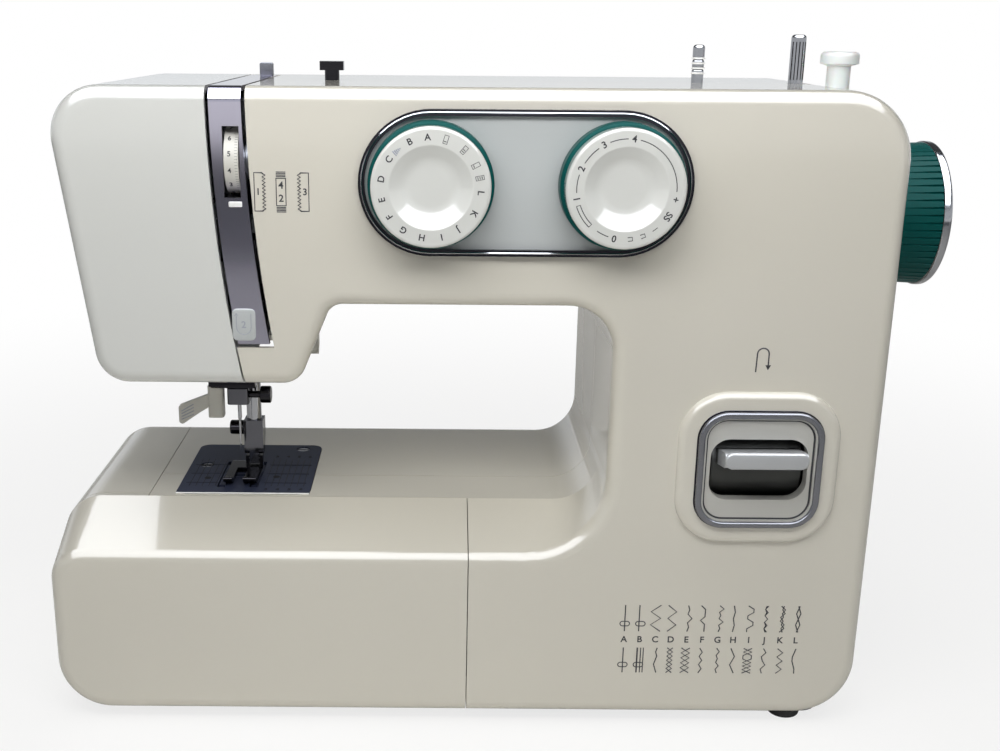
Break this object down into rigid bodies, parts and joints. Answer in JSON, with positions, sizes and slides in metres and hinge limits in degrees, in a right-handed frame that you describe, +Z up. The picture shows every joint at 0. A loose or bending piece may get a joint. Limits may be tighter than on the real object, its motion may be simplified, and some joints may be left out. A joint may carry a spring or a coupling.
{
  "type": "sewing machine",
  "caption": "Free-arm domestic sewing machine with handwheel, stitch dials, reverse lever, needle and presser mechanism, hook drive and slide-off accessory box.",
  "frame": {"origin": "on the table under the middle of the machine's bounding box", "axes": "+X to the handwheel, +Y to the back, +Z up; the needle side is -X and the dials face -Y"},
  "size_m": [0.385, 0.151, 0.3],
  "materials": {
    "ivory_abs": "glossy warm ivory moulding",
    "white_abs": "glossy white moulding",
    "green_abs": "glossy sea green moulding",
    "silver_paint": "satin silver paint",
    "chrome": "bright plating",
    "steel": "ground and brushed",
    "cast_aluminium": "as cast",
    "bronze": "sintered",
    "black_plastic": "fine texture",
    "grey_plastic": "fine texture",
    "rubber": "matt",
    "bulb_glass": "clear"
  },
  "bodies": {
    "frame": {"face_cover": "white_abs", "face_strip": "silver_paint", "front_cover": "ivory_abs", "rear_cover": "ivory_abs", "base_plate": "black_plastic", "dial_panel": "silver_paint", "dial_bezel": "white_abs", "tension_stud": "steel", "reverse_bezel": "ivory_abs", "arm_casting": "cast_aluminium", "main_shaft_bushes": "bronze", "motor": "black_plastic", "motor_mount": "black_plastic", "timing_belt": "rubber", "drive_belt": "rubber", "needle_plate": "steel", "needle_plate_screws": "steel", "winder_stop": "white_abs", "thread_guides": "chrome", "power_inlet": "black_plastic", "lamp_socket": "black_plastic", "lamp_bulb": "bulb_glass", "rubber_feet": "rubber", "bobbin_case": "white_abs", "bobbin": "grey_plastic"},
    "handwheel": {"handwheel": "green_abs", "handwheel_ring": "chrome", "main_shaft": "steel", "needle_crank": "steel", "drive_pulley": "black_plastic", "upper_timing_pulley": "grey_plastic"},
    "motor_rotor": {"motor_pulley": "black_plastic"},
    "lower_shaft": {"lower_shaft": "steel", "lower_timing_pulley": "grey_plastic"},
    "rotary_hook": {"rotary_hook": "steel"},
    "needle_link": {"needle_link": "steel"},
    "needle_bar": {"needle_bar": "steel", "needle_clamp": "steel", "clamp_screw": "steel", "needle": "chrome"},
    "take_up_lever": {"take_up_lever": "steel"},
    "presser_lifter": {"presser_lifter": "steel"},
    "presser_bar": {"presser_bar": "steel", "presser_ankle": "chrome", "ankle_screw": "chrome"},
    "presser_foot": {"presser_foot": "chrome"},
    "needle_threader": {"needle_threader": "grey_plastic"},
    "pattern_dial": {"pattern_dial": "white_abs", "pattern_dial_skirt": "green_abs"},
    "length_dial": {"length_dial": "white_abs", "length_dial_skirt": "green_abs"},
    "tension_dial": {"tension_dial": "white_abs"},
    "reverse_lever": {"reverse_lever": "ivory_abs"},
    "accessory_box": {"accessory_box": "ivory_abs"},
    "accessory_lid": {"accessory_lid": "ivory_abs"},
    "winder_carriage": {"winder_carriage": "black_plastic"},
    "winder_spindle": {"winder_spindle": "chrome"},
    "spool_pin": {"spool_pin": "chrome"},
    "feed_dog": {"feed_dog": "steel"},
    "power_switch": {"power_switch": "black_plastic"}
  },
  "joints": [
    {"name": "handwheel_turn", "type": "hinge", "parent": "frame", "child": "handwheel", "pos_m": [0, -0.002, 0.224], "axis": [1, 0, 0], "continuous": true},
    {"name": "motor_turn", "type": "hinge", "parent": "frame", "child": "motor_rotor", "pos_m": [0.1, -0.026, 0.045], "axis": [1, 0, 0], "continuous": true},
    {"name": "lower_shaft_turn", "type": "hinge", "parent": "frame", "child": "lower_shaft", "pos_m": [0, 0.02, 0.068], "axis": [1, 0, 0], "continuous": true},
    {"name": "hook_turn", "type": "hinge", "parent": "frame", "child": "rotary_hook", "pos_m": [-0.1155, 0, 0.068], "axis": [0, 1, 0], "continuous": true},
    {"name": "needle_link_swing", "type": "hinge", "parent": "handwheel", "child": "needle_link", "pos_m": [-0.102, -0.002, 0.2375], "axis": [1, 0, 0], "continuous": true},
    {"name": "needle_bar_slide", "type": "slide", "parent": "frame", "child": "needle_bar", "axis": [0, 0, 1], "range_m": [-0.027, 0]},
    {"name": "take_up_swing", "type": "hinge", "parent": "frame", "child": "take_up_lever", "pos_m": [-0.1147, -0.02, 0.244], "axis": [1, 0, 0], "range_deg": [0, 50]},
    {"name": "presser_lift", "type": "hinge", "parent": "frame", "child": "presser_lifter", "pos_m": [-0.08525, 0.038, 0.166], "axis": [1, 0, 0], "range_deg": [0, 70]},
    {"name": "presser_bar_slide", "type": "slide", "parent": "frame", "child": "presser_bar", "axis": [0, 0, 1], "range_m": [0, 0.006]},
    {"name": "presser_foot_tilt", "type": "hinge", "parent": "presser_bar", "child": "presser_foot", "pos_m": [-0.1105, 0.0065, 0.1026], "axis": [1, 0, 0], "range_deg": [-10, 0]},
    {"name": "threader_slide", "type": "slide", "parent": "frame", "child": "needle_threader", "axis": [0, 0, 1], "range_m": [-0.015, 0], "stiffness_N_per_m": 100, "springref_m": 0.006},
    {"name": "pattern_dial_turn", "type": "hinge", "parent": "frame", "child": "pattern_dial", "pos_m": [-0.0268, -0.06, 0.2425], "axis": [0, 1, 0], "continuous": true},
    {"name": "length_dial_turn", "type": "hinge", "parent": "frame", "child": "length_dial", "pos_m": [0.0482, -0.06, 0.2425], "axis": [0, 1, 0], "range_deg": [-150, 150]},
    {"name": "tension_dial_turn", "type": "hinge", "parent": "frame", "child": "tension_dial", "pos_m": [-0.1056, -0.0465, 0.25], "axis": [1, 0, 0], "range_deg": [-150, 150]},
    {"name": "reverse_press", "type": "hinge", "parent": "frame", "child": "reverse_lever", "pos_m": [0.1119, -0.041, 0.122], "axis": [1, 0, 0], "range_deg": [0, 20], "stiffness_Nm_per_rad": 0.2, "springref_deg": -11.46},
    {"name": "accessory_box_slide", "type": "slide", "parent": "frame", "child": "accessory_box", "axis": [-1, 0, 0], "range_m": [0, 0.15]},
    {"name": "accessory_lid_open", "type": "hinge", "parent": "accessory_box", "child": "accessory_lid", "pos_m": [-0.1925, 0.025, 0.08], "axis": [0, -1, 0], "range_deg": [0, 95]},
    {"name": "winder_shift", "type": "slide", "parent": "frame", "child": "winder_carriage", "axis": [1, 0, 0], "range_m": [0, 0.0045]},
    {"name": "winder_turn", "type": "hinge", "parent": "winder_carriage", "child": "winder_spindle", "pos_m": [0.132, 0.004, 0.28], "axis": [0, 0, 1], "continuous": true},
    {"name": "spool_pin_pull", "type": "slide", "parent": "frame", "child": "spool_pin", "axis": [0, 0, 1], "range_m": [0, 0.033]},
    {"name": "feed_dog_shift", "type": "slide", "parent": "frame", "child": "feed_dog", "axis": [0, 1, 0], "range_m": [-0.0025, 0.0025]},
    {"name": "switch_rock", "type": "hinge", "parent": "frame", "child": "power_switch", "pos_m": [0.161, -0.004, 0.046], "axis": [0, 1, 0], "range_deg": [-8, 8]}
  ],
  "couplings": [
    {"joint": "motor_turn", "follows": "handwheel_turn", "ratio": 5},
    {"joint": "lower_shaft_turn", "follows": "handwheel_turn", "ratio": 1},
    {"joint": "hook_turn", "follows": "handwheel_turn", "ratio": 2},
    {"joint": "needle_link_swing", "follows": "handwheel_turn", "ratio": -1},
    {"joint": "presser_lift", "follows": "presser_bar_slide", "rad_per_m": 203.6}
  ]
}
